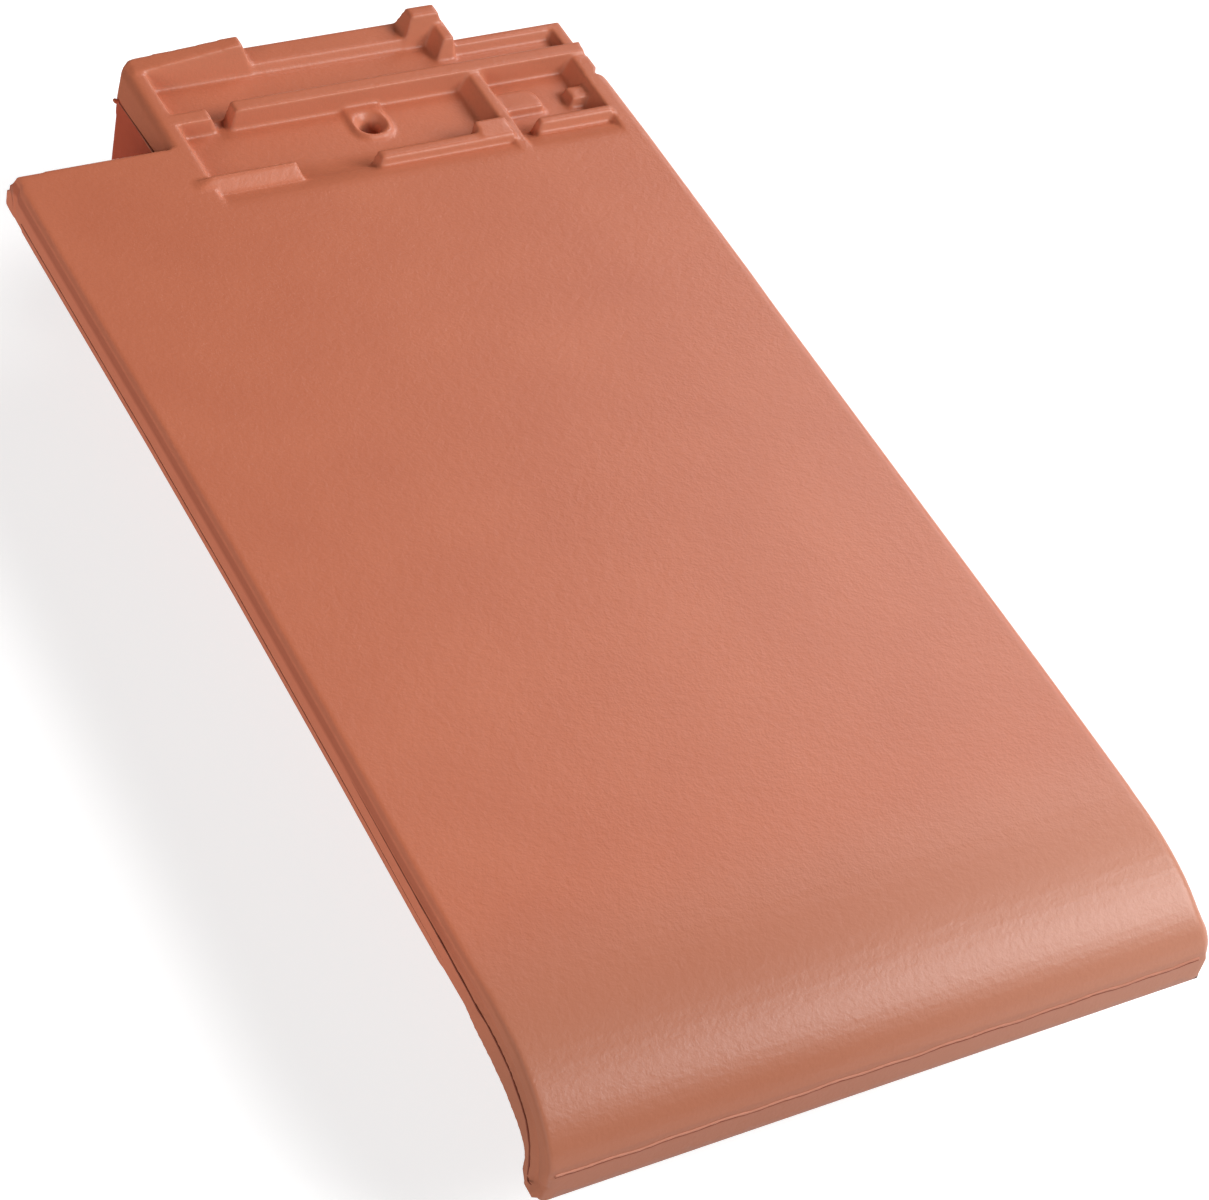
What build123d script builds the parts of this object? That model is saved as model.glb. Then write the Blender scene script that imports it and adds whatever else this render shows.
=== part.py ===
"""Left-hand verge tile: a flat interlocking clay roof tile, pressed and fired as one piece.

It lies deck up, as it is stored. Sizes are in millimetres. Across the tile is X, up the roof
slope from the foot to the head is Y, and Z is up. The origin is at the middle of the tile,
level with the lower edge of its flap. Places are measured from the left edge, from the foot
and from the deck's surface, and set-backs from the end of the head.
"""

import os

from build123d import *

# Overall sizes
length = 478.5
width = 243.5
flap_depth = 65.0  # from the deck's surface down to the flap's lower edge

# Deck and nose
deck_thickness = 14.5
edge_inset = 2.5  # the deck's left side stands this far inside the lug
left_round = 1.2
right_round = 5.0
flange_corner = 5.0  # round corner of the cover flange, at the deck's back edge
nose_drop = 38.0  # from the deck's surface down to the nose's lower edge
nose_thickness = 11.0
nose_reach = 58.0  # how far behind the foot the deck starts to bend down
nose_bend = 28.0  # height over which it bends from level to upright
inside_run = 45.0  # run and height of the slope inside the bend
inside_height = 13.0
inside_round = 9.0
band_round = 3.0  # upright corner of the plain band below the bend, on the right
foot_round = 4.0  # lower corners of the nose

# Drip lip along the left edge, and the lug at its head end
lip_reach = 1.3
lip_height = 2.0
lip_start = 72.0
lug_length = 6.0
lug_height = 12.5
lug_foot = 7.5  # height of the lug's lower part, which runs on behind the deck
lug_back = 2.5

# Head, where the next course laps over
head_lap = 52.0  # from the deck's back edge to the end of the head
head_inset = 59.5  # from the left edge to the flap's outer face
head_margin = 5.5  # from the head's right side to the tile's right edge
head_thickness = 19.0
head_band = 85.0  # from the end of the head to the front of its thicker band
head_corner = 6.5  # cut across the corner behind the flap
right_step = 15.0  # how much shorter the head is right of the stops
step_inset = 50.5  # from the tile's right edge to that step
side_lean = 1.5  # how far the head's left side leans in above the mould joint
side_joint = 11.0  # from the deck's surface down to that joint

# Flap that covers the edge of the roof
flap_thickness = 12.0
flap_setback = 90.0  # from the foot, the lap of one course over the next

# Recesses: two chambers in front of the water bar, two channels behind it
chamber_depth = 7.0
chamber_front = 88.0  # from the end of the head to where the floors leave the deck's surface
ramp_length = 24.0
channel_depth = 8.0
channel_length = 22.0
left_strip = 8.5  # deck-level strips that close the recesses left and right
right_strip = 6.5
divider_width = 4.5  # rib between the chambers
divider_inset = 52.0  # from the tile's right edge to the divider
wall_lean = 3.5  # how far the sides of the recesses lean over their height

# Water bar, and the notch that drains the channel behind it
bar_height = 1.5
bar_thickness = 6.0
bar_setback = 34.0
bar_lean = 1.0
notch_inset = 83.5  # from the left edge to the middle of the notch's left side
notch_width = 7.0
notch_lean = 3.0

# Back ridges, the stops that stand on them, and the walls between the channels
ridge_level = 4.0  # how far the ridges stay below the deck
ridge_lean = 2.0
right_ridge = 3.5
end_wall = 4.5  # the low wall that closes the right channel
stop_height = 4.5
stop_thickness = 5.5
stop_back = 2.5  # how far a stop's back leans
stop_lean = 4.5
left_stop = 48.0
left_stop_fall = 4.5  # how much lower the left stop is at its outer end
right_stop = 11.5
between_wall = 8.5

# Ribs across the chambers' ramps, and the raised end of the middle one
rib_height = 2.0
rib_lean = 3.5
left_rib = 33.0
left_rib_setback = 71.5
left_rib_top = 1.5
left_rib_lean = 16.0
middle_rib = 54.0
middle_rib_setback = 74.0
middle_rib_top = 5.0
right_rib = 31.0
right_rib_setback = 71.5
right_rib_top = 3.5
block = 12.5
block_height = 3.5
block_setback = 69.5

# Small tab and stud on the right chamber's floor
tab_length = 18.5
tab_width = 11.0
tab_setback = 49.5
tab_level = 3.5
tab_round = 5.0
stud_length = 9.0
stud_width = 6.5
stud_setback = 53.5
stud_level = 3.0

# Nail hole and its boss
nail_across = 142.0
nail_setback = 51.0
nail_radius = 4.0
sink_radius = 6.5
boss_width = 17.0
boss_front = 8.5  # from the hole to the boss's rounded front
boss_round = 6.5
boss_level = 5.5
boss_draft = 50.0

# Underside: nibs that hook over the batten, and the ribs of the cover lock
nib_length = 34.0
nib_thickness = 14.0
nib_depth = 15.0
nib_lean = 4.0
nib_places = (104.0, 198.0)  # from the left edge to the middle of each nib
nib_setback = 22.0
lock_rib = 6.0
lock_depth = 6.0
lock_gap = 12.0

overrun = 1.0  # how far a cut runs past the face it opens

# Places, measured from the left edge, the foot and the deck's surface
lap_line = length - head_lap
right_end = length - right_step
bar_back = length - bar_setback
bar_front = bar_back - bar_thickness
bar_foot = bar_front - bar_lean
ramp_front = length - chamber_front
channel_back = bar_back + channel_length
stop_front = length - stop_back - stop_thickness
head_right = width - head_margin
left_edge = head_inset + left_strip
right_edge = head_right - right_strip
divider_right = width - divider_inset
divider_left = divider_right - divider_width
step_line = width - step_inset
deck = Plane(origin=(-width / 2, -length / 2, flap_depth))
from_side = Plane(deck.origin, x_dir=(0, 1, 0), z_dir=(1, 0, 0))
from_foot = Plane(deck.origin, x_dir=(1, 0, 0), z_dir=(0, -1, 0))


def box(left, right, front, back, bottom, top, mode=Mode.ADD):
    """Add or cut a plain box, given by its six sides."""
    with BuildSketch(deck.offset(bottom)) as outline:
        with Locations(((left + right) / 2, (front + back) / 2)):
            Rectangle(right - left, back - front)
    extrude(outline.sketch, amount=top - bottom, mode=mode)


def face(plane, points):
    """The face inside a list of points."""
    with BuildSketch(plane, mode=Mode.PRIVATE) as outline:
        with BuildLine():
            Polyline(*points, close=True)
        make_face()
    return outline.sketch


def pressed(side, foot, mode=Mode.ADD):
    """Add or cut the shape that has these outlines, seen from the side and from the foot."""
    lengthwise = extrude(side, amount=width, mode=Mode.PRIVATE)
    crosswise = extrude(face(from_foot, foot), amount=-length, mode=Mode.PRIVATE)
    add(lengthwise & crosswise, mode=mode)


def raised(left, right, top, left_lean=0.0, right_lean=0.0):
    """Outline from the foot of a shape on a recess's floor: its top, and how its ends lean."""
    return [(left - left_lean, -channel_depth), (left, top), (right, top),
            (right + right_lean, -channel_depth)]


def bar(back, thickness, front_height, back_height, lean, floor=channel_depth):
    """Outline from the side of a bar with an upright back and a leaning front."""
    front = back - thickness
    return face(from_side, [(front - lean, -floor), (front, front_height), (back, back_height),
                            (back, -floor)])


def chamber(left, right):
    """Cut a chamber between its side walls. Its floor leaves the deck in an S-shaped ramp."""
    middle = (ramp_front + ramp_length / 2, -chamber_depth / 2)
    with BuildSketch(from_side, mode=Mode.PRIVATE) as side:
        with BuildLine():
            upper = TangentArc((ramp_front, 0), middle, tangent=(1, 0))
            lower = TangentArc(middle, (ramp_front + ramp_length, -chamber_depth),
                               tangent=upper % 1)
            Polyline(lower @ 1, (bar_foot, -chamber_depth), (bar_foot, 0), (ramp_front, 0))
        make_face()
    pressed(side.sketch, [(left, 0), (left + wall_lean, -chamber_depth),
                          (right - wall_lean, -chamber_depth), (right, 0)], mode=Mode.SUBTRACT)


def round_corner(plane, corner, inwards, radius, depth):
    """Cut a square corner to a quarter circle. Inwards is the way from the corner, as signs."""
    with BuildSketch(plane) as outline:
        centre = (corner[0] + inwards[0] * radius, corner[1] + inwards[1] * radius)
        with Locations((centre[0] - inwards[0] * radius / 2, centre[1] - inwards[1] * radius / 2)):
            Rectangle(radius, radius)
        with Locations(centre):
            Circle(radius, mode=Mode.SUBTRACT)
    extrude(outline.sketch, amount=depth, mode=Mode.SUBTRACT)


def skin_edges(part):
    """The edges at the sides of the deck's upper surface, from the back edge over the nose."""
    level = part.edges().filter_by(Axis.Y).group_by(Axis.Z)[-1]
    upright = part.edges().filter_by(Axis.Z).group_by(Axis.Y)[0]
    return part.edges().filter_by(GeomType.ELLIPSE) + level + upright


with BuildPart() as verge_tile:
    # Deck and nose: one section from the foot to the deck's back edge
    with BuildSketch(from_side.offset(edge_inset)):
        with BuildLine():
            bend = EllipticalCenterArc((nose_reach, -nose_bend), nose_reach, nose_bend,
                                       start_angle=90, arc_size=90)
            Polyline(bend @ 0, (lap_line, 0), (lap_line, -deck_thickness))
            FilletPolyline(
                (lap_line, -deck_thickness),
                (nose_thickness + inside_run, -deck_thickness),
                (nose_thickness, -deck_thickness - inside_height),
                (nose_thickness, -nose_drop),
                radius=inside_round,
            )
            Polyline((nose_thickness, -nose_drop), (0, -nose_drop), bend @ 1)
        make_face()
    extrude(amount=width - edge_inset)

    # The upper surface rolls down at the left edge, and wider at the cover flange on the right
    fillet(skin_edges(verge_tile).group_by(Axis.X)[0], left_round)
    fillet(skin_edges(verge_tile).group_by(Axis.X)[-1], right_round)

    # The plain band below the bend keeps its full width on the right, with a small round
    box(width / 2, width, 0, nose_thickness, -nose_drop, -nose_bend)
    fillet(verge_tile.edges().filter_by(Axis.Z).group_by(Axis.X)[-1].sort_by(Axis.Y)[0], band_round)

    # Round corners: below the nose, and the cover flange's at the deck's back edge
    round_corner(from_foot, (edge_inset, -nose_drop), (1, 1), foot_round, -nose_thickness)
    round_corner(from_foot, (width, -nose_drop), (-1, 1), foot_round, -nose_thickness)
    round_corner(deck.offset(-deck_thickness), (width, lap_line), (-1, -1), flange_corner,
                 deck_thickness)

    # Drip lip along the left edge, and the lug at its head end
    box(edge_inset - lip_reach, edge_inset, lip_start, lap_line - lug_length,
        -deck_thickness, lip_height - deck_thickness)
    box(0, edge_inset, lap_line - lug_length, lap_line,
        -deck_thickness, lug_height - deck_thickness)
    box(0, edge_inset, lap_line, lap_line + lug_back,
        -deck_thickness, lug_foot - deck_thickness)

    # Head: its thicker band, and the deck-level body up to the water bar
    box(head_inset, head_right, length - head_band, right_end, -head_thickness, -channel_depth)
    box(head_inset, step_line, right_end, length, -head_thickness, -channel_depth)
    box(head_inset, head_right, lap_line - flange_corner, bar_foot, -channel_depth, 0)
    chamber(left_edge, divider_left)
    chamber(divider_right, right_edge)

    # Water bar, level with the deck left of the notch that drains the channel behind it
    notch_end = notch_inset + notch_width
    pressed(bar(bar_back, bar_thickness, bar_height, bar_height, bar_lean),
            [(head_inset, -channel_depth), (head_inset, 0), (notch_inset - notch_lean / 2, 0),
             (notch_inset + notch_lean / 2, -chamber_depth), (notch_end - bar_lean, -chamber_depth),
             (notch_end + bar_lean, bar_height), (head_right - bar_lean, bar_height),
             (head_right, -channel_depth)])

    # Back ridges, and the stops that stand on the left one
    left_ridge = length - channel_back - ridge_lean
    pressed(bar(length, left_ridge, -ridge_level, -ridge_level, ridge_lean),
            raised(head_inset, step_line, -ridge_level))
    pressed(bar(right_end, right_ridge, -ridge_level, -ridge_level, ridge_lean),
            raised(step_line, head_right, -ridge_level))
    stop_section = face(from_side, [(channel_back, -channel_depth), (stop_front, stop_height),
                                    (length - stop_back, stop_height), (length, -ridge_level),
                                    (length, -channel_depth)])
    stop_end = head_inset + left_stop
    pressed(stop_section, [(head_inset, -channel_depth), (head_inset, stop_height - left_stop_fall),
                           (stop_end, stop_height), (stop_end + stop_lean, -channel_depth)])
    pressed(stop_section, raised(divider_right - stop_back - right_stop, divider_right - stop_back,
                                 stop_height, wall_lean, stop_lean))

    # Walls that close the channels: left side, between them, and right end
    pressed(bar(stop_front, stop_front - bar_back, 0, 0, 0),
            raised(head_inset, left_edge, 0, 0, wall_lean))
    pressed(bar(stop_front, between_wall + ridge_lean, 0, 0, wall_lean),
            raised(divider_left, divider_right, 0, wall_lean))
    pressed(bar(right_end, right_end - bar_back, -ridge_level, -ridge_level, 0),
            raised(head_right - end_wall, head_right, -ridge_level, bar_lean))

    # The head's left side leans in above the mould joint
    lean_top = stop_height + overrun
    pressed(bar(length, length - lap_line, lean_top, lean_top, 0, flap_depth),
            [(head_inset, -side_joint), (head_inset + side_lean, 0),
             (head_inset + side_lean + stop_height, lean_top), (head_inset - overrun, lean_top),
             (head_inset - overrun, -side_joint)], mode=Mode.SUBTRACT)

    # Ribs across the ramps, and the raised end of the middle one against the divider
    rib_line = length - left_rib_setback
    pressed(bar(rib_line, left_rib_top, rib_height, rib_height, left_rib_lean),
            [(head_inset + side_lean, -channel_depth), (head_inset + side_lean, 0),
             (left_edge, rib_height), (left_edge + left_rib, rib_height),
             (left_edge + left_rib + rib_lean, -channel_depth)])
    pressed(bar(length - middle_rib_setback, middle_rib_top, rib_height, rib_height, side_lean),
            raised(divider_left - middle_rib, divider_left, rib_height, rib_lean))
    block_line = length - block_setback
    pressed(bar(block_line, middle_rib_setback + middle_rib_top - block_setback,
                rib_height, block_height, side_lean),
            raised(divider_left - block, divider_left, block_height, side_lean, rib_lean))
    pressed(bar(length - right_rib_setback, right_rib_top, bar_height, bar_height, rib_lean),
            raised(right_edge - right_rib, right_edge, bar_height, rib_lean, side_lean))

    # Small tab against the divider, and a stud against the right strip
    with BuildSketch(deck.offset(-chamber_depth)) as tab:
        with Locations((divider_left, length - tab_setback)):
            Rectangle(divider_width + tab_length, tab_width, align=(Align.MIN, Align.MAX))
        fillet(tab.vertices().sort_by(Axis.Y)[-2:].sort_by(Axis.X)[-1], tab_round)
    extrude(amount=chamber_depth - tab_level)
    pressed(bar(length - stud_setback, stud_width, -stud_level, -stud_level, side_lean),
            raised(right_edge - stud_length, head_right, -stud_level, side_lean))

    # Boss against the water bar, and the countersunk nail hole
    nail_spot = (nail_across, length - nail_setback)
    with BuildSketch(deck.offset(-chamber_depth)) as boss:
        with Locations((nail_across, nail_spot[1] - boss_front)):
            Rectangle(boss_width, bar_front - nail_spot[1] + boss_front,
                      align=(Align.CENTER, Align.MIN))
        fillet(boss.vertices().sort_by(Axis.Y)[:2], boss_round)
    extrude(amount=chamber_depth - boss_level, taper=boss_draft)
    with Locations(deck.offset(-boss_level)):
        with Locations(nail_spot):
            CounterSinkHole(nail_radius, sink_radius)

    # Flap down the edge of the roof, from the lap to the corner cut at the end of the head
    box(head_inset, head_inset + flap_thickness, flap_setback, length - head_corner,
        -flap_depth, -deck_thickness)
    with BuildSketch(deck.offset(-flap_depth)) as corner:
        with Locations((head_inset, length)):
            RegularPolygon(head_corner, 4)
    extrude(amount=flap_depth + lean_top, mode=Mode.SUBTRACT)

    # Nibs that hook over the batten, and two ribs of the cover lock under the right edge
    batten_line = length - nib_setback - nib_thickness
    nib = face(from_side, [(batten_line, -head_thickness),
                           (batten_line, -head_thickness - nib_depth),
                           (batten_line + nib_thickness - nib_lean, -head_thickness - nib_depth),
                           (batten_line + nib_thickness, -head_thickness)])
    for place in nib_places:
        add(Pos(X=place - nib_length / 2) * extrude(nib, amount=nib_length, mode=Mode.PRIVATE))
    for side in (width - lock_rib, width - 2 * lock_rib - lock_gap):
        box(side, side + lock_rib, nose_reach, length - head_band,
            -deck_thickness - lock_depth, -deck_thickness)

verge_tile.part.label = "verge_tile"
os.makedirs("parts", exist_ok=True)
export_step(verge_tile.part, "parts/verge_tile.step")
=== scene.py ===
"""Clay verge roof tile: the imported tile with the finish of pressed, fired terracotta."""

from math import atan2, cos, hypot, radians, sin

import bmesh
import bpy
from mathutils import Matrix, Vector


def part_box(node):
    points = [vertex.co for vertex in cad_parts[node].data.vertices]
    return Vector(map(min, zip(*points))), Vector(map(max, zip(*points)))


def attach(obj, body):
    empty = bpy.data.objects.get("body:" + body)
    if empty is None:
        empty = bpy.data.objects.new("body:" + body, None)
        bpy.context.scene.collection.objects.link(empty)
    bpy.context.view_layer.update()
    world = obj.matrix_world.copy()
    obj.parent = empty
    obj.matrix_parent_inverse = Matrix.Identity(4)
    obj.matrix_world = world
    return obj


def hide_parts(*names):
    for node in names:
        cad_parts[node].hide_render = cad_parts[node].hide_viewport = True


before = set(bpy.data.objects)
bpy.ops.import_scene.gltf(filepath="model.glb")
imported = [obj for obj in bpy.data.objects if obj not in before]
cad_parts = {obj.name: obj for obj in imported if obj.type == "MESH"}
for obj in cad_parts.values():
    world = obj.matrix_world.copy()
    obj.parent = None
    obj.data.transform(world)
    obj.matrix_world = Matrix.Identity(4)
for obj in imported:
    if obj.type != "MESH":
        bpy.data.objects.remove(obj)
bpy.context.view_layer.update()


# --- Pressed tile ---------------------------------------------------------------------
# The whole tile is one slab of clay, pressed between two plaster-lined moulds and fired
# once. Every edge that the mould made comes out softly rounded, and the drip edge on the
# left and the cover edge on the right warp by a millimetre or so in the kiln.

mm = 0.001
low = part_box("verge_tile")[0]
tile_width, deck_length, nose_depth = 243.5, 427, 14  # the deck's length on its left side
cad_wall = 2.5  # from the tile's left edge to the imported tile's wall above the lip
grain = 0.8 * mm  # cells of the mesh, fine enough for a rib's rounded edge
softening = 5  # passes that round a sharp edge to a radius of about 1 mm
foot_x, foot_y, deck_z = low.x, low.y, low.z + 65 * mm


def place(across, along, height):
    """The point that lies this far from the left edge, the foot and the deck, in millimetres."""
    return Vector((foot_x + across * mm, foot_y + along * mm, deck_z + height * mm))


def ease(value, start, end):
    """Rise smoothly from 0 at start to 1 at end."""
    share = min(max((value - start) / (end - start), 0), 1)
    return share * share * (3 - 2 * share)


def finished(piece):
    """Replace a piece's mesh with what its modifiers make of it."""
    bpy.context.view_layer.update()
    shown = piece.evaluated_get(bpy.context.evaluated_depsgraph_get())
    mesh = bpy.data.meshes.new_from_object(shown)
    piece.modifiers.clear()
    piece.data = mesh


tile = bpy.data.objects.new("pressed_tile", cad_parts["verge_tile"].data.copy())
bpy.context.scene.collection.objects.link(tile)
form = bmesh.new()
form.from_mesh(tile.data)
bmesh.ops.remove_doubles(form, verts=form.verts, dist=0.01 * mm)
form.to_mesh(tile.data)
form.free()
cells = tile.modifiers.new("cells", "REMESH")
cells.mode = "VOXEL"
cells.voxel_size = grain
soft = tile.modifiers.new("soft", "SMOOTH")
soft.factor = 0.5
soft.iterations = softening
finished(tile)

# The joint of the two moulds runs up the left side: the clay above it slopes back to a wall,
# and the clay below it comes out to the lip. Both long edges warped a little in the kiln. Each list
# gives places from the foot with a height or an inward shift.
joint = ((0.0, -35.0), (7.3, -35.6), (7.8, -34.0), (8.7, -29.7), (10.8, -24.2), (13.3, -20.7),
         (16.2, -18.0), (20.8, -15.9), (27.1, -13.5), (33.9, -11.2), (45.0, -8.4),
         (57.0, -7.4), (71.0, -6.5), (80.0, -6.1), (420.0, -5.8))
lip_face = ((0.0, 1.9), (8.0, 1.9), (13.0, 2.2), (20.0, 2.7), (30.0, 3.0), (39.0, 2.6),
            (50.0, 1.7), (90.0, 1.2), (427.0, 1.2))
lip_top = 0.3  # width of the lip's top
wall_face = ((0.0, 3.2), (30.0, 3.5), (60.0, 2.2), (100.0, 1.6), (427.0, 1.6))
edge_round = 1.8  # soft edge between the deck and the wall
left_bow = ((0.0, 0.0), (75.0, 0.1), (150.0, 0.8), (230.0, 1.0), (300.0, 0.5), (350.0, -0.2),
            (400.0, -0.9), (427.0, -1.1), (430.0, 0.0))
right_bow = ((0.0, 0.2), (10.0, 0.7), (30.0, 1.9), (50.0, 3.0), (110.0, 2.5), (290.0, 2.5),
             (310.0, 2.2), (390.0, 2.2), (427.0, 2.7), (430.0, 0.0))


def read_off(places, along):
    """The value at this distance from the foot, on straight lines between the places."""
    for (start, first), (end, last) in zip(places, places[1:]):
        if along <= end:
            return first + (last - first) * max(along - start, 0) / (end - start)
    return places[-1][1]


def distance(places, along, height):
    """How far a point of the side lies from the line through the places."""
    nearest = 1000
    for (start, first), (end, last) in zip(places, places[1:]):
        step, rise = end - start, last - first
        share = ((along - start) * step + (height - first) * rise) / (step ** 2 + rise ** 2)
        share = min(max(share, 0), 1)
        nearest = min(nearest, hypot(along - start - share * step, height - first - share * rise))
    return nearest


bead_height = -27.2  # bead along the nose, where the two moulds meet
corner_depth, old_round, new_round = 38.0, 4.0, 1.2  # of the nose's lower corners
front_round = 2.6  # of the upright corner between the left side and the nose's band
lug_passes = 6  # of smoothing
most_triangles = 190000
head_side = 59.5
head_round = 4.0  # soft upper edge of the head's left side
form = bmesh.new()
form.from_mesh(tile.data)
for vert in form.verts:
    across = (vert.co.x - foot_x) / mm
    along = (vert.co.y - foot_y) / mm
    height = (vert.co.z - deck_z) / mm
    # Nose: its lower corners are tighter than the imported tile's
    if along < nose_depth and height < old_round - corner_depth:
        for edge, inwards in ((cad_wall, 1), (tile_width, -1)):
            middle = edge + inwards * old_round
            if (across - middle) * inwards < 0:
                out, down = (middle - across) * inwards, old_round - corner_depth - height
                reach, way = hypot(out, down) / old_round, atan2(down, out)
                kept = old_round - new_round
                across = middle - inwards * reach * (kept + new_round * cos(way))
                height = old_round - corner_depth - reach * (kept + new_round * sin(way))
        # Its left end is thinner, and rounds into the front
        along -= 2.6 * ease(height, -27, -33) * ease(across, 30, 8) * ease(along, 5, 11)
    if along < nose_depth and across < 8:
        cut = front_round - min(max(along, 0), front_round)
        across += ((front_round - (front_round ** 2 - cut ** 2) ** 0.5)
                   * ease(height, -26, -30) * ease(across, 8, 3))
    # Left side: the lip stands out below the joint, and above it the clay slopes back
    if across < 9 and along < joint[-1][0]:
        lip = read_off(lip_face, along) - 0.5 * ease(height, -30, -35) * (along < nose_depth)
        above = height > read_off(joint, along)
        if above:
            off = distance(joint, along, height)
            inner, wall = lip + lip_top, read_off(wall_face, along)
            face = inner + (wall - inner) * ease(off, 0.2, 2.4)
            face += 0.6 * ease(off, 1.4, 2.4) * ease(off, 4.2, 2.8) * ease(along, 100, 60)
            across = max(across, cad_wall)
            across += (face - cad_wall) * ease(across, 9, 3)
        elif across < 3.2 and along > front_round:
            across = lip + 0.3 * max(across - cad_wall, 0)
    # Deck: behind the nose its left edge is soft
    radius = edge_round * ease(along, 45, 80)
    inwards, up = read_off(wall_face, along) + radius - across, height + radius
    if radius > 0 and inwards > 0 and up > 0 and along < deck_length:
        share = max(inwards, up) / hypot(inwards, up)
        across += inwards * (1 - share)
        height -= up * (1 - share)
    # Lug at the head end of the lip: its top slopes down towards the foot
    if across < 2.3 and joint[-1][0] < along < 426.5:
        height = min(height, -3.0 - 1.4 * (426.5 - along))
    # Nose: the clay on both sides of the bead stands back a little
    if height > bead_height - 11:
        along = max(along, 0.6 * ease(height, bead_height - 0.6, bead_height + 0.1), 0.35)
    # Nose: sharper where the bend meets the plain band on the right, and a deeper band
    across += 1.9 * ease(across, 235, 240) * ease(height, -10, -22) * ease(along, nose_depth, 4)
    height -= 0.9 * ease(height, -28, -38) * (along < nose_depth)
    # Head: soft upper edge on the left, and a slightly wider end on the right
    beyond = head_side + 1.0 + head_round - across
    if along > deck_length and beyond > 0:
        height = min(height, (head_round ** 2 - min(beyond, head_round) ** 2) ** 0.5 - head_round)
    across += 1.4 * ease(across, 226, 237) * ease(along, 440, 450)
    across += read_off(left_bow, along) * ease(across, 16, 3)
    across -= read_off(right_bow, along) * ease(across, 228, tile_width)
    vert.co = place(min(max(across, 0), tile_width), along, height)
lug_end = place(13, 414, -18)
lug = [vert for vert in form.verts if vert.co.x < lug_end.x and vert.co.y > lug_end.y
       and vert.co.z > lug_end.z]
for turn in range(lug_passes):
    bmesh.ops.smooth_vert(form, verts=lug, factor=0.5, use_axis_x=True, use_axis_y=True,
                          use_axis_z=True)
form.to_mesh(tile.data)
form.free()
thin = tile.modifiers.new("thin", "DECIMATE")
thin.ratio = min(1, most_triangles / (2 * len(tile.data.polygons)))
finished(tile)
for face in tile.data.polygons:
    face.use_smooth = True


def linear(hex_colour):
    """An sRGB hex colour as a linear colour with alpha."""
    values = [int(hex_colour[start:start + 2], 16) / 255 for start in (0, 2, 4)]
    return [v / 12.92 if v <= 0.04045 else ((v + 0.055) / 1.055) ** 2.4 for v in values] + [1]


def add_node(tree, kind, inputs=None, **settings):
    """Add a node. Its inputs, by name or number, take a value or another node's socket."""
    made = tree.nodes.new(kind)
    for name, value in settings.items():
        setattr(made, name, value)
    for name, value in (inputs or {}).items():
        if isinstance(value, bpy.types.NodeSocket):
            tree.links.new(value, made.inputs[name])
        else:
            made.inputs[name].default_value = value
    return made


# Terracotta, pressed against plaster and fired bare: matt, with a fine grain, faint cloudy
# patches where the clay was wetter, and a soft sheen where it catches a low light.
terracotta = bpy.data.materials.new("fired_terracotta")
terracotta.use_nodes = True
tree = terracotta.node_tree
clay = tree.nodes["Principled BSDF"]
clay.inputs["IOR"].default_value = 1.5
clay.inputs["Specular IOR Level"].default_value = 0.4
texture_space = add_node(tree, "ShaderNodeTexCoord")
spot = texture_space.outputs["Object"]
where = add_node(tree, "ShaderNodeSeparateXYZ", {0: spot})
facing = add_node(tree, "ShaderNodeSeparateXYZ", {0: texture_space.outputs["Normal"]})

# The clay's own colour, with patches about 45 mm wide and grains of sand about 1 mm wide,
# which is coarser than real grog so that it shows
patches = add_node(tree, "ShaderNodeTexNoise", {"Vector": spot, "Scale": 1 / (45 * mm),
                                                "Detail": 3.0, "Roughness": 0.55})
body = add_node(tree, "ShaderNodeMix", {0: patches.outputs[0], 6: linear("BA6648"),
                                        7: linear("C87454")}, data_type="RGBA")
sand = add_node(tree, "ShaderNodeTexNoise", {"Vector": spot, "Scale": 1 / (1.1 * mm),
                                             "Detail": 2.0})
sand_share = add_node(tree, "ShaderNodeMapRange", {0: sand.outputs[0], 1: 0.35, 2: 0.65,
                                                   3: 0.0, 4: 0.25})
coloured = add_node(tree, "ShaderNodeMix", {0: sand_share.outputs[0], 6: body.outputs[2],
                                            7: linear("B4664B")}, data_type="RGBA")
behind_nose = add_node(tree, "ShaderNodeMapRange", {0: where.outputs[1], 1: foot_y + 40 * mm,
                                                    2: foot_y + 85 * mm, 3: 0.0, 4: 1.0})

# Painted shade: the flap's outer face, below the joint, is painted a darker, deeper red for the
# shade it lies in
on_flap = add_node(tree, "ShaderNodeMath", {0: where.outputs[0], 1: foot_x + head_side * mm,
                                            2: 1.2 * mm}, operation="COMPARE")
below = add_node(tree, "ShaderNodeMath", {0: where.outputs[2], 1: deck_z - 11.5 * mm},
                 operation="LESS_THAN")
flap_shade_share = add_node(tree, "ShaderNodeMath", {0: on_flap.outputs[0], 1: below.outputs[0]},
                      operation="MULTIPLY")
flap_shade_share = add_node(tree, "ShaderNodeMath", {0: flap_shade_share.outputs[0],
                                               1: behind_nose.outputs[0]}, operation="MULTIPLY")
coloured = add_node(tree, "ShaderNodeMix", {0: flap_shade_share.outputs[0], 6: coloured.outputs[2],
                                            7: linear("B44C30")}, data_type="RGBA")
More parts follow.
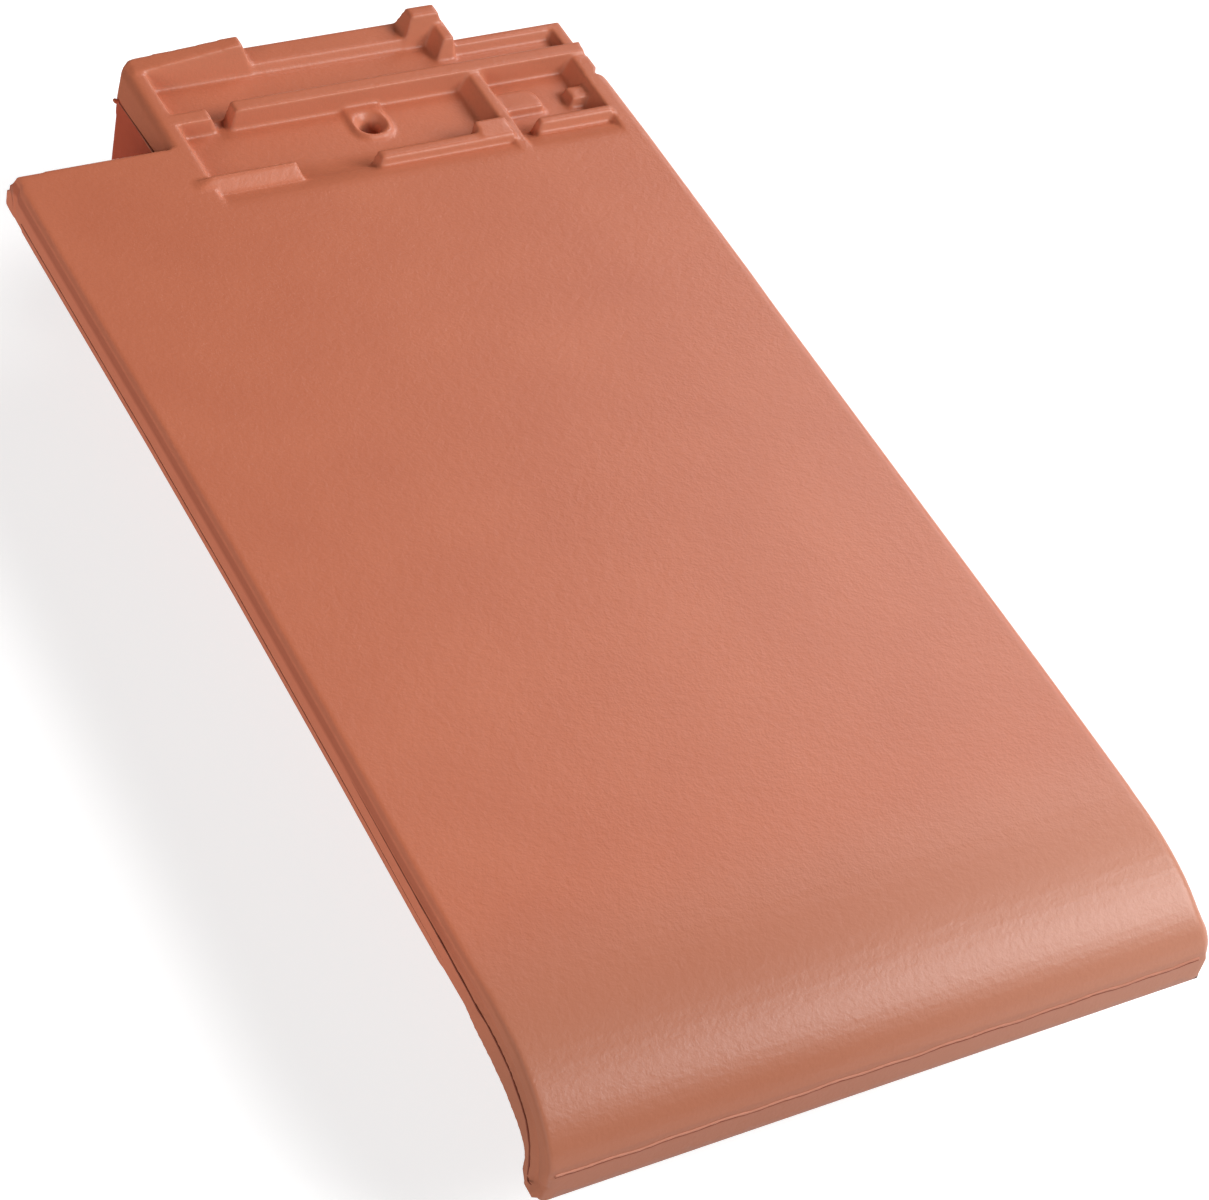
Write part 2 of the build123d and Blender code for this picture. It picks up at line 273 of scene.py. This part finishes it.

# Painted highlight: faces turned to the right, towards the lamps on that side, are painted paler.
# Painted light and shade on the left: the lip is painted paler, and the wall just under the deck's
# edge darker
cover_highlight_share = add_node(tree, "ShaderNodeMapRange", {0: facing.outputs[0], 1: 0.35, 2: 0.95,
                                                    3: 0.0, 4: 0.35})
coloured = add_node(tree, "ShaderNodeMix", {0: cover_highlight_share.outputs[0], 6: coloured.outputs[2],
                                            7: linear("D6A08C")}, data_type="RGBA")
# Painted shade in a band of the left wall from about 6 to 1.5 mm under the deck's edge; the rest of
# that wall, the lip included, is painted paler as painted light
under_deck = add_node(tree, "ShaderNodeMapRange", {0: where.outputs[2], 1: deck_z - 2.4 * mm,
                                                   2: deck_z - 1.2 * mm, 3: 1.0, 4: 0.0})
over_lip = add_node(tree, "ShaderNodeMapRange", {0: where.outputs[2], 1: deck_z - 6.4 * mm,
                                                 2: deck_z - 5.2 * mm, 3: 0.0, 4: 1.0})
wall_shade_share = add_node(tree, "ShaderNodeMath", {0: under_deck.outputs[0],
                                               1: over_lip.outputs[0]}, operation="MULTIPLY")
wall_shade_share = add_node(tree, "ShaderNodeMath", {0: wall_shade_share.outputs[0],
                                               1: behind_nose.outputs[0]}, operation="MULTIPLY")
side = add_node(tree, "ShaderNodeMix", {0: wall_shade_share.outputs[0], 6: linear("E28566"),
                                        7: linear("A85640")}, data_type="RGBA")
on_wall = add_node(tree, "ShaderNodeMapRange", {0: facing.outputs[0], 1: -0.1, 2: -0.6,
                                                3: 0.0, 4: 0.5})
at_edge = add_node(tree, "ShaderNodeMath", {0: where.outputs[0], 1: foot_x + 10 * mm},
                   operation="LESS_THAN")
wall_light_and_shade_share = add_node(tree, "ShaderNodeMath", {0: on_wall.outputs[0],
                                               1: at_edge.outputs[0]}, operation="MULTIPLY")
coloured = add_node(tree, "ShaderNodeMix", {0: wall_light_and_shade_share.outputs[0], 6: coloured.outputs[2],
                                            7: side.outputs[2]}, data_type="RGBA")

# Painted highlight: the bend of the nose is painted paler towards the right, for the lamp's sheen
# on it, and darker towards the left; the small faces in the head that look down the slope are
# painted paler, as if lit from that side
on_nose = add_node(tree, "ShaderNodeMapRange", {0: where.outputs[1], 1: foot_y + 85 * mm,
                                                2: foot_y + 20 * mm, 3: 0.0, 4: 0.9},
                   interpolation_type="SMOOTHSTEP")
rightward = add_node(tree, "ShaderNodeMapRange", {0: where.outputs[0], 1: -40 * mm,
                                                  2: 110 * mm, 3: 0.0, 4: 1.0})
nose_highlight_and_shade = add_node(tree, "ShaderNodeMix", {0: rightward.outputs[0], 6: linear("AE6D53"),
                                         7: linear("C08269")}, data_type="RGBA")
coloured = add_node(tree, "ShaderNodeMix", {0: on_nose.outputs[0], 6: coloured.outputs[2],
                                            7: nose_highlight_and_shade.outputs[2]}, data_type="RGBA")
# Painted highlight on the faces in the head that look down the slope
downhill = add_node(tree, "ShaderNodeMapRange", {0: facing.outputs[1], 1: -0.35, 2: -0.9,
                                                 3: 0.0, 4: 0.5})
downhill_highlight_share = add_node(tree, "ShaderNodeMath", {0: behind_nose.outputs[0],
                                                   1: downhill.outputs[0]}, operation="MULTIPLY")
coloured = add_node(tree, "ShaderNodeMix", {0: downhill_highlight_share.outputs[0],
                                            6: coloured.outputs[2], 7: linear("D08A6E")},
                    data_type="RGBA")
tree.links.new(coloured.outputs[2], clay.inputs["Base Color"])

# Pressed faces have a sheen; faces drawn up the mould's left wall, and the plain band along
# the foot, are duller
drawn = add_node(tree, "ShaderNodeMapRange", {0: facing.outputs[0], 1: -0.85, 2: -0.35,
                                              3: 0.95, 4: 0.38})
front = add_node(tree, "ShaderNodeMapRange", {0: facing.outputs[1], 1: -0.99, 2: -0.85,
                                              3: 0.6, 4: 0.38})
at_foot = add_node(tree, "ShaderNodeMapRange", {0: where.outputs[1], 1: foot_y + 5 * mm,
                                                2: foot_y + 20 * mm, 3: 0.6, 4: 0.38})
band = add_node(tree, "ShaderNodeMath", {0: front.outputs[0], 1: at_foot.outputs[0]},
                operation="MINIMUM")
dull = add_node(tree, "ShaderNodeMath", {0: drawn.outputs[0], 1: band.outputs[0]},
                operation="MAXIMUM")
tree.links.new(dull.outputs[0], clay.inputs["Roughness"])

# Pebbly dents about 3 mm wide from the plaster, and the sand's grit
pebble = add_node(tree, "ShaderNodeTexNoise", {"Vector": spot, "Scale": 1 / (3 * mm),
                                               "Detail": 3.0, "Roughness": 0.6})
dents = add_node(tree, "ShaderNodeBump", {"Height": pebble.outputs[0], "Strength": 0.25,
                                          "Distance": 0.5 * mm})
grit = add_node(tree, "ShaderNodeBump", {"Height": sand.outputs[0], "Normal": dents.outputs[0],
                                         "Strength": 0.3, "Distance": 0.2 * mm})
tree.links.new(grit.outputs[0], clay.inputs["Normal"])
tile.data.materials.clear()
tile.data.materials.append(terracotta)
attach(tile, "root")
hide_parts("verge_tile")


# --- Mould joint ----------------------------------------------------------------------
# Where the two halves of the mould met, the clay squeezed out in a thin uneven bead along the nose,
# and left an open line on the left side's first 140 mm and along the outside of the head. A finer
# line runs up the lip. These lines are dark clay beads: painted shade for the shade in the creases
# and under the nose's bead, and in the open joint also its dirt; the nose's bead is painted paler
# for the light along its top.


def bead(name, points, thickness, material, thinning=0):
    """A thin uneven bead through these points. It thins out over its last points."""
    curve = bpy.data.curves.new(name, "CURVE")
    curve.dimensions = "3D"
    curve.bevel_depth = thickness / 2 * mm
    curve.bevel_resolution = 2
    curve.use_fill_caps = True
    line = curve.splines.new("POLY")
    line.points.add(len(points) - 1)
    for number, (knot, point) in enumerate(zip(line.points, points)):
        knot.co = (*place(*point), 1)
        knot.radius = 1 + 0.2 * sin(2.4 * number)
        if number + thinning >= len(points):
            knot.radius *= (len(points) - number) / (thinning + 1)
    drawn_curve = bpy.data.objects.new("drawn_curve", curve)
    bpy.context.scene.collection.objects.link(drawn_curve)
    bpy.context.view_layer.update()
    shown = drawn_curve.evaluated_get(bpy.context.evaluated_depsgraph_get())
    piece = bpy.data.objects.new(name, bpy.data.meshes.new_from_object(shown))
    bpy.data.objects.remove(drawn_curve)
    bpy.context.scene.collection.objects.link(piece)
    piece.data.materials.clear()
    piece.data.materials.append(material)
    for face in piece.data.polygons:
        face.use_smooth = True
    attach(piece, "root")


def plain_material(name, colour, roughness):
    """A material of one colour and one roughness."""
    material = bpy.data.materials.new(name)
    material.use_nodes = True
    surface = material.node_tree.nodes["Principled BSDF"]
    surface.inputs["Base Color"].default_value = linear(colour)
    surface.inputs["Roughness"].default_value = roughness
    return material


# Terracotta darkened for the joint lines: painted shade for the shade in the creases and under the
# bead, and dust and soot where the joint is open; and terracotta painted paler for the bead, a
# painted highlight for the light along its top
joint_shade_and_dirt = plain_material("joint_shade_and_dirt_terracotta", "874835", 0.9)
pale = plain_material("bead_highlight_terracotta", "C07E66", 0.7)
wave = [(across, bead_height + 0.25 * sin(across / 3.1) + 0.25 * sin(across / 7.3))
        for across in range(6, 242, 2)]
# Painted highlight: the nose's bead is painted paler for the light along its top
bead("nose_bead", [(across, 0.66, height) for across, height in wave], 1.0, pale)
# Painted shadow: a dark line just under the bead
bead("nose_line", [(across, 0.45, height - 0.75) for across, height in wave], 0.45, joint_shade_and_dirt)
side_places = list(joint[2:8]) + [(along, read_off(joint, along))
                                  for along in range(25, 145, 5)]
# Painted shade and dirt: a dark line in the open joint up the left side
bead("side_line", [(read_off(lip_face, along) + read_off(left_bow, along) + 0.03, along,
                    height + 0.1) for along, height in side_places], 0.55, joint_shade_and_dirt, thinning=14)
# Painted shade: a dark line in the crease along the lip
bead("lip_line", [(read_off(lip_face, along) + read_off(left_bow, along) - 0.05, along,
                   -11.4) for along in range(414, 66, -6)], 0.35, joint_shade_and_dirt, thinning=14)
# The same dark lines at the nose's lower left corner, the lug and the head's outer side: painted
# shade in their creases, and dirt
bead("hook_line", [(1.9, 7.7, -34.6), (1.5, 6.4, -35.3), (1.6, 4.6, -34.6)], 0.4, joint_shade_and_dirt)
bead("lug_line", [(0.3, 428.3, -8.0), (0.3, 425.0, -9.6), (0.6, 423.0, -10.6)], 0.5, joint_shade_and_dirt)
bead("head_nub", [(59.9, 469.0, -12.2), (58.9, 471.0, -13.0), (58.7, 472.0, -13.2)], 1.7,
     terracotta)
bead("head_line", [(59.5, 428, -9.2), (59.4, 440, -10.0), (59.4, 458, -11.4), (59.5, 471, -12.6)],
     0.6, joint_shade_and_dirt)


# --- Stage ----------------------------------------------------------------------------
# A plain pale floor that reads white behind the tile and keeps its soft shadow, with a large
# soft lamp at the right of the foot, a weaker one at the right of the head, a third low on
# the left, and almost no other light.
floor_mesh = bpy.data.meshes.new("floor")
sheet = bmesh.new()
bmesh.ops.create_grid(sheet, x_segments=1, y_segments=1, size=3)
bmesh.ops.translate(sheet, verts=sheet.verts, vec=(0, 0, low.z))
sheet.to_mesh(floor_mesh)
sheet.free()
floor = bpy.data.objects.new("floor", floor_mesh)
bpy.context.scene.collection.objects.link(floor)
paper = plain_material("white_paper", "C8C8C8", 0.9)
tree = paper.node_tree
matt = tree.nodes["Principled BSDF"]
path = add_node(tree, "ShaderNodeLightPath")
seen = add_node(tree, "ShaderNodeMath", {0: path.outputs["Is Camera Ray"],
                                         1: path.outputs["Is Glossy Ray"]}, operation="ADD")
seen = add_node(tree, "ShaderNodeMath", {0: seen.outputs[0],
                                         1: path.outputs["Is Transmission Ray"]}, operation="ADD")
glow = add_node(tree, "ShaderNodeMath", {0: seen.outputs[0], 1: 0.7}, operation="MULTIPLY")
matt.inputs["Emission Color"].default_value = (1, 1, 1, 1)
tree.links.new(glow.outputs[0], matt.inputs["Emission Strength"])
floor_mesh.materials.append(paper)


def soft_box(name, watts, size, spot):
    """A square soft lamp at this spot, turned to the tile."""
    light = bpy.data.lights.new(name, "AREA")
    light.energy = watts
    light.size = size
    lamp = bpy.data.objects.new(name, light)
    lamp.location = spot
    lamp.rotation_euler = (-lamp.location).to_track_quat("-Z", "Y").to_euler()
    bpy.context.scene.collection.objects.link(lamp)


soft_box("foot_lamp", 160, 2.2, (2.65, -1.53, 2.57))
soft_box("side_lamp", 80, 2.2, (2.84, 1.64, 2.29))
soft_box("left_lamp", 88, 2.2, (-3.50, -1.49, 1.24))
world = bpy.data.worlds.new("fill")
world.use_nodes = True
world.node_tree.nodes["Background"].inputs["Color"].default_value = (1, 1, 1, 1)
world.node_tree.nodes["Background"].inputs["Strength"].default_value = 0.03
bpy.context.scene.world = world

camera_data = bpy.data.cameras.new("camera")
camera_data.lens = 101.2
camera_data.sensor_width = 36
camera = bpy.data.objects.new("camera", camera_data)
camera.location = (-496.80 * mm, -668.20 * mm, 850.76 * mm)
camera.rotation_euler = (radians(43.693), radians(-10.634), radians(-27.656))
bpy.context.scene.collection.objects.link(camera)
bpy.context.scene.camera = camera
bpy.context.scene.view_settings.view_transform = "Standard"
